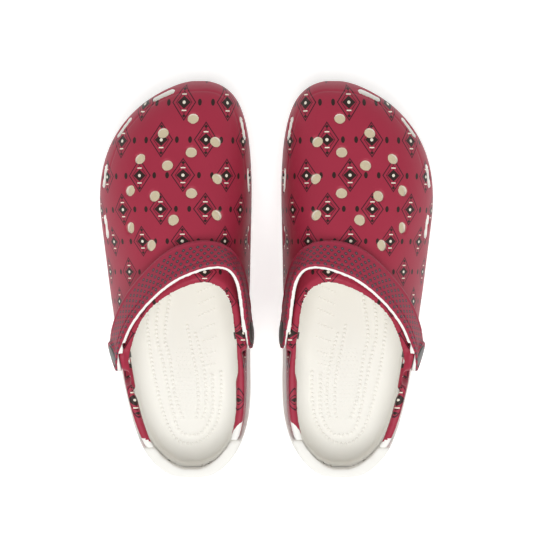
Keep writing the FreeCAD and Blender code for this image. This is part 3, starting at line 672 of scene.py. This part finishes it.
def nub_domes(points, facing):
    """All the nubs as little domes standing on the footbed's own surface."""
    top = np.flatnonzero((facing[:, 2] > 0.6) & (points[:, 1] < 0.02))
    tree = KDTree(len(top))
    for i in top:
        tree.insert((points[i, 0], points[i, 1], 0), int(i))
    tree.balance()
    pattern = spun(NUB_PROFILE, NUB_SIDES)
    dome = bpy.data.meshes.new("nub")
    pattern.to_mesh(dome)
    pattern.free()
    domes = bmesh.new()
    for x, y, radius, height in nub_centres():
        near = [found[1] for found in tree.find_n((x * MM, y * MM, 0), 5)]
        seat = Vector((x * MM, y * MM, points[near, 2].mean()))
        up = Vector(facing[near].mean(0)).normalized()
        turn = Vector((0, 0, 1)).rotation_difference(up).to_matrix().to_4x4()
        size = Matrix.Diagonal((radius * MM, radius * MM, height * MM, 1))
        domes.from_mesh(dome)
        domes.verts.ensure_lookup_table()
        bmesh.ops.transform(domes, matrix=Matrix.Translation(seat) @ turn @ size,
                            verts=domes.verts[-len(dome.vertices):])
    bpy.data.meshes.remove(dome)
    return domes


class CLOG_OT_footbed(bpy.types.Operator):
    """Mould the cupped footbeds and raise their massage nubs"""
    bl_idname = "clog.footbed"
    bl_label = "Footbeds"

    def execute(self, context):
        mesh = moulded("footbed", "left_footbed", sizes().voxel * 1.1, 5)
        points = positions(mesh)
        facing = normals(mesh)
        # the cup's lip runs out into the wall round it, so that no step shows
        inner = (facing * cavity_direction(points)).sum(1) < 0.3
        lip = inner * ease(points[:, 2], 0.040, 0.0495)
        push = 1.4 + 2.4 * ease(-points[:, 1], 0.100, 0.115)
        points[:, :2] += from_middle_line(points) * (lip * push * MM)[:, None]
        # three low ridges under the lateral rows of nubs
        plan = points[:, :2] / MM
        top = facing[:, 2] > 0.5
        rise = np.zeros(len(points))
        for row in NUB_ROWS[:3]:
            for x, y in rounded_run(row, 0.8):
                near = top & (np.abs(plan[:, 0] - x) < 2.6) & (np.abs(plan[:, 1] - y) < 2.6)
                gap = np.hypot(plan[near, 0] - x, plan[near, 1] - y) / 2.4
                rise[near] = np.maximum(rise[near], 0.5 * np.clip(1 - gap ** 2, 0, 1))
        points[:, 2] += rise * MM
        place(mesh, points)
        domes = nub_domes(points, facing)
        domes.from_mesh(mesh)
        domes.to_mesh(mesh)
        domes.free()
        mesh.polygons.foreach_set("use_smooth", np.ones(len(mesh.polygons), bool))
        store(mesh, "forefoot", ease(positions(mesh)[:, 1], 0.005, 0.020))
        finish_pair("footbed_cup", mesh, "footbed", ROOT, footbed_foam())
        return {"FINISHED"}


# ------------------------------------------------------------------ heel strap
# A point inside the band, along the axis and out from it, that the band's length is measured about.
HUB = (0.003, 0.020)


def strap_frame(points):
    """Along the axis, out from it, and up across the band."""
    away = points - AXIS_MIDDLE
    return away @ AXIS_ALONG, away @ STRAP_OUT, away @ STRAP_UP


def band_run(along, out):
    """Distance walked round the band, from the polar angle about a point inside it."""
    x, y = along - HUB[0], out - HUB[1]
    angle, reach = np.arctan2(y, x), np.hypot(x, y)
    angle = np.where(angle < -math.pi / 2, angle + 2 * math.pi, angle)
    steps = np.linspace(angle.min(), angle.max(), 90)
    mean = np.array([reach[np.abs(angle - s) < 0.06].mean() for s in steps])
    x, y = mean * np.cos(steps), mean * np.sin(steps)
    walked = np.concatenate([[0], np.cumsum(np.hypot(np.diff(x), np.diff(y)))])
    return np.interp(angle, steps, walked)


class CLOG_OT_strap(bpy.types.Operator):
    """Mould the heel straps with their raised edge and dots"""
    bl_idname = "clog.strap"
    bl_label = "Heel straps"

    def execute(self, context):
        mesh = moulded("strap", "left_heel_strap", sizes().strap_voxel, 9)
        points = positions(mesh)
        facing = normals(mesh)
        along, out, across = strap_frame(points)
        side = np.stack([facing @ AXIS_ALONG, facing @ STRAP_OUT], 1)
        away = np.stack([along - HUB[0], out - HUB[1] / 2], 1)
        away /= np.linalg.norm(away, axis=1)[:, None]
        outward = (side * away).sum(1)
        reach = np.hypot(np.abs(along) - LOBE_FACE, out)
        limit = (0.8 + 0.9 * ease(reach, 0.010, 0.022)) * MM
        depth = depth_under(points, outward > 0.6)
        film = neighbour_mean(mesh, 1 - ease(depth, limit, limit + 0.9 * MM), 2)
        bead = np.exp(-((across / MM + 8.3) / 0.8) ** 2)
        groove = np.exp(-((across / MM - 6.7) / 0.65) ** 2)
        keep = ease(reach, 0.012, 0.018) * ease(outward, 0.4, 0.7)
        points += facing * (keep * (bead * sizes().bead_height - groove * 0.75 * MM))[:, None]
        place(mesh, points)
        store(mesh, "film", film)
        store_uv(mesh, band_run(along, out), across)
        finish_pair("strap", mesh, "heel_strap", "left_strap", strap_foam())
        return {"FINISHED"}


# ------------------------------------------------------------------ rivets
# Half profile of a rivet head: radius and height over its seat, millimetres.
HEAD_PROFILE = ((0.0, 0.0), (7.7, 0.0), (8.0, 0.3), (8.0, 1.25), (7.75, 1.6), (7.2, 1.75), (6.9, 1.62),
                (6.6, 1.68), (5.0, 1.95), (3.0, 2.12), (1.2, 2.19), (0.0, 2.2))
HEAD_SEAT = 1.15 * MM
POST_RADII = (2.5 * MM, 3.0 * MM)
POST_NEAR, POST_FAR = 0.0373, LOBE_FACE - 0.6 * MM


def rivet_head(name, side):
    """A snap rivet: turned head with a rolled edge, and its post along the strap's axis."""
    shape = spun([(radius * MM, height * MM) for radius, height in HEAD_PROFILE], 64)
    middle, outward, upright = Vector(AXIS_MIDDLE), Vector(AXIS_ALONG) * side, Vector((0, 0, 1))
    normal = outward * math.cos(LOBE_TILT[side]) + Vector(STRAP_UP) * math.sin(LOBE_TILT[side])
    seat = Matrix.Translation(middle + outward * LOBE_FACE - normal * HEAD_SEAT)
    turn = upright.rotation_difference(normal).to_matrix().to_4x4()
    bmesh.ops.transform(shape, matrix=seat @ turn, verts=shape.verts)
    lie = upright.rotation_difference(outward).to_matrix().to_4x4()
    bmesh.ops.create_cone(shape, cap_ends=True, segments=32, radius1=POST_RADII[0], radius2=POST_RADII[1],
                          depth=POST_FAR - POST_NEAR,
                          matrix=Matrix.Translation(middle + outward * (POST_FAR + POST_NEAR) / 2) @ lie)
    mesh = bpy.data.meshes.new(name)
    shape.to_mesh(mesh)
    shape.free()
    mesh.polygons.foreach_set("use_smooth", np.ones(len(mesh.polygons), bool))
    return mesh


class CLOG_OT_rivets(bpy.types.Operator):
    """Turn the rivets that the straps swing on"""
    bl_idname = "clog.rivets"
    bl_label = "Rivets"

    def execute(self, context):
        plastic = acetal("moulded acetal", 0.42, colours().rivet, "4B4A47")
        ring_plastic = acetal("natural acetal", 0.4, "EDEBE4", "E6E4DC")
        for end, side in (("lateral", -1), ("medial", 1)):
            mesh = rivet_head("rivet_" + end, side)
            finish_pair("rivet_" + end, mesh, "rivet_cap_" + end, "left_strap", plastic)
            for clog in ("left", "right"):
                ring = frame["nodes"]["%s_rivet_back_%s" % (clog, end)]
                ring.data.materials.clear()
                ring.data.materials.append(ring_plastic)
        return {"FINISHED"}


# ------------------------------------------------------------------ stage
FLOOR_GAP = 0.2 * MM
# Soft square lamps: name, place and watts. They all look at the same point.
LAMPS = (("key", (0.0, -0.7, 2.2), 30.5), ("left", (-1.6, -0.2, 1.3), 2.0), ("right", (1.6, -0.2, 1.3), 2.0))
LAMP_SIZE = 1.2
LAMP_AIM = Vector((0, 0, 0.04))


class CLOG_OT_stage(bpy.types.Operator):
    """Lay the floor and set the lights and the camera"""
    bl_idname = "clog.stage"
    bl_label = "Stage"

    def execute(self, context):
        floor = bmesh.new()
        bmesh.ops.create_grid(floor, x_segments=1, y_segments=1, size=4.0,
                              matrix=Matrix.Translation((0, 0, CAD_BOX[0][2] - FLOOR_GAP)))
        mesh = bpy.data.meshes.new("floor")
        floor.to_mesh(mesh)
        floor.free()
        ground = link("floor", mesh)
        # white acrylic of a light table, lit a little from below
        matt = new_material("matt acrylic", {"Roughness": 0.9, "Base Color": linear("FDFDFD"),
                                             "Specular IOR Level": 0.1, "Emission Color": linear("FFFFFF"),
                                             "Emission Strength": 0.26})[0]
        mesh.materials.append(matt)

        for name, spot, power in LAMPS:
            lamp = bpy.data.lights.new(name, "AREA")
            lamp.shape = "SQUARE"
            lamp.size = LAMP_SIZE
            lamp.energy = power
            holder = bpy.data.objects.new(name, lamp)
            holder.location = spot
            holder.rotation_euler = (LAMP_AIM - Vector(spot)).to_track_quat("-Z", "Y").to_euler()
            context.scene.collection.objects.link(holder)
        world = bpy.data.worlds.new("studio")
        world.use_nodes = True
        world.node_tree.nodes["Background"].inputs["Color"].default_value = (1, 1, 1, 1)
        world.node_tree.nodes["Background"].inputs["Strength"].default_value = 0.45
        context.scene.world = world
        context.scene.view_settings.view_transform = "Standard"

        lens = bpy.data.cameras.new("camera")
        lens.sensor_width = 36.0
        lens.lens = 145.8
        lens.clip_end = 20.0
        camera = bpy.data.objects.new("camera", lens)
        camera.location = (0.0, 0.009, 1.6)
        context.scene.collection.objects.link(camera)
        context.scene.camera = camera
        return {"FINISHED"}


# ------------------------------------------------------------------ add-on
class CLOG_PT_panel(bpy.types.Panel):
    """Sizes, colours and the pieces, in building order"""
    bl_label = "Garden Clogs"
    bl_idname = "CLOG_PT_panel"
    bl_space_type = "VIEW_3D"
    bl_region_type = "UI"
    bl_category = "Clogs"

    def draw(self, context):
        column = self.layout.column()
        for group in (context.scene.clog_sizes, context.scene.clog_colours):
            for name in group.__annotations__:
                column.prop(group, name)
        for operator in OPERATORS:
            column.operator(operator.bl_idname)


OPERATORS = (CLOG_OT_upper, CLOG_OT_sole, CLOG_OT_footbed, CLOG_OT_strap, CLOG_OT_rivets, CLOG_OT_stage)
CLASSES = (ClogSizes, ClogColours) + OPERATORS + (CLOG_PT_panel,)


def register():
    for kind in CLASSES:
        bpy.utils.register_class(kind)
    bpy.types.Scene.clog_sizes = PointerProperty(type=ClogSizes)
    bpy.types.Scene.clog_colours = PointerProperty(type=ClogColours)


def unregister():
    del bpy.types.Scene.clog_colours
    del bpy.types.Scene.clog_sizes
    for kind in reversed(CLASSES):
        bpy.utils.unregister_class(kind)


def main():
    register()
    bpy.ops.clog.upper()
    bpy.ops.clog.sole()
    bpy.ops.clog.footbed()
    bpy.ops.clog.strap()
    bpy.ops.clog.rivets()
    bpy.ops.clog.stage()


if __name__ == "__main__":
    main()
